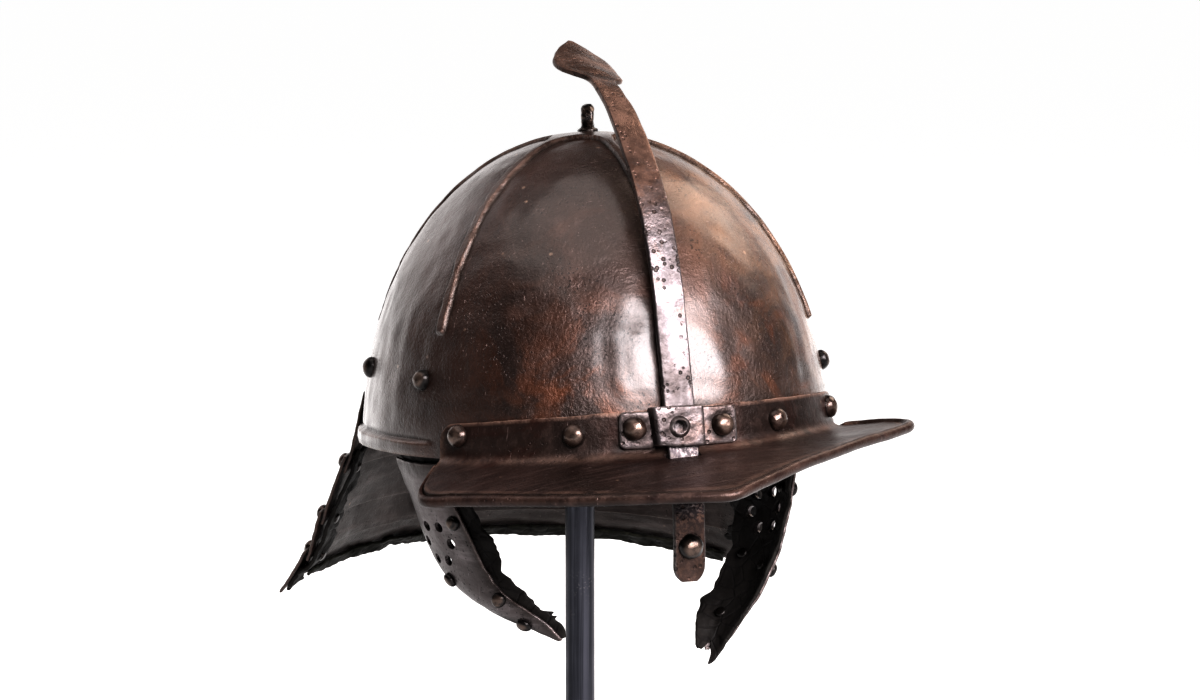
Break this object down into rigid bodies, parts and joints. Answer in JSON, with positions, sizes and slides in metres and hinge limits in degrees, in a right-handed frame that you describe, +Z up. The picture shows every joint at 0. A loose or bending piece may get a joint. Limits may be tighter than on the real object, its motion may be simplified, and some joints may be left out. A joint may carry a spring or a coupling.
{
  "type": "lobster-tail pot helmet on stand",
  "caption": "Riveted iron pot helmet with ribbed skull, pointed peak, sliding nasal bar, laminated neck guard and leather-hung cheek pieces, on a plain pole stand.",
  "frame": {"origin": "middle of the underside of the stand's base", "axes": "+Z up, the helmet's front towards -Y, the wearer's left towards +X; the helmet leans back 4 degrees on its pole"},
  "size_m": [0.243, 0.3234, 0.3437],
  "materials": {
    "skull_iron": "dark brown patina, hammered, satin to glossy, scratched and pitted",
    "peak_iron": "red-brown patina with coppery worn edges and fine horizontal streaks",
    "worn_steel": "worn silver-grey, pitted, brown in the hollows",
    "rivet_iron": "dark brown, glossy domes",
    "black_leather": "old black leather, cracked, ragged edges",
    "stand_steel": "dark blue-grey steel, satin"
  },
  "bodies": {
    "helmet": {"skull": "skull_iron", "tail_lame_1": "skull_iron", "tail_lame_2": "skull_iron", "tail_lame_3": "skull_iron", "tail_lame_4": "skull_iron", "cheek_right": "skull_iron", "cheek_left": "skull_iron", "peak": "peak_iron", "crown_loop": "rivet_iron", "nasal_bracket": "worn_steel", "peak_rivet_right_outer": "rivet_iron", "peak_rivet_right_inner": "rivet_iron", "peak_rivet_left_inner": "rivet_iron", "peak_rivet_left_outer": "rivet_iron", "bracket_rivet_right": "rivet_iron", "bracket_rivet_left": "rivet_iron", "strap_rivet_right_front": "rivet_iron", "strap_rivet_right_rear": "rivet_iron", "strap_rivet_left_front": "rivet_iron", "strap_rivet_left_rear": "rivet_iron", "tail_rivet_right": "rivet_iron", "tail_rivet_back": "rivet_iron", "tail_rivet_left": "rivet_iron", "lame_rivet_right_1": "rivet_iron", "lame_rivet_right_2": "rivet_iron", "lame_rivet_right_3": "rivet_iron", "lame_rivet_left_1": "rivet_iron", "lame_rivet_left_2": "rivet_iron", "lame_rivet_left_3": "rivet_iron", "cheek_rivet_right_a": "rivet_iron", "cheek_rivet_right_b": "rivet_iron", "cheek_rivet_right_c": "rivet_iron", "cheek_rivet_right_d": "rivet_iron", "cheek_rivet_left_a": "rivet_iron", "cheek_rivet_left_b": "rivet_iron", "cheek_rivet_left_c": "rivet_iron", "cheek_rivet_left_d": "rivet_iron", "tail_leather_right": "black_leather", "tail_leather_left": "black_leather", "tail_edge_leather": "black_leather", "cheek_lining_right": "black_leather", "cheek_lining_left": "black_leather", "stand_base": "stand_steel", "stand_pole": "stand_steel", "stand_knob": "stand_steel"},
    "nasal": {"nasal_bar": "worn_steel", "nasal_stop": "rivet_iron"}
  },
  "joints": [
    {"name": "nasal_slide", "type": "slide", "parent": "helmet", "child": "nasal", "axis": [0, 0.2736, 0.9619], "range_m": [-0.016, 0.022]}
  ]
}
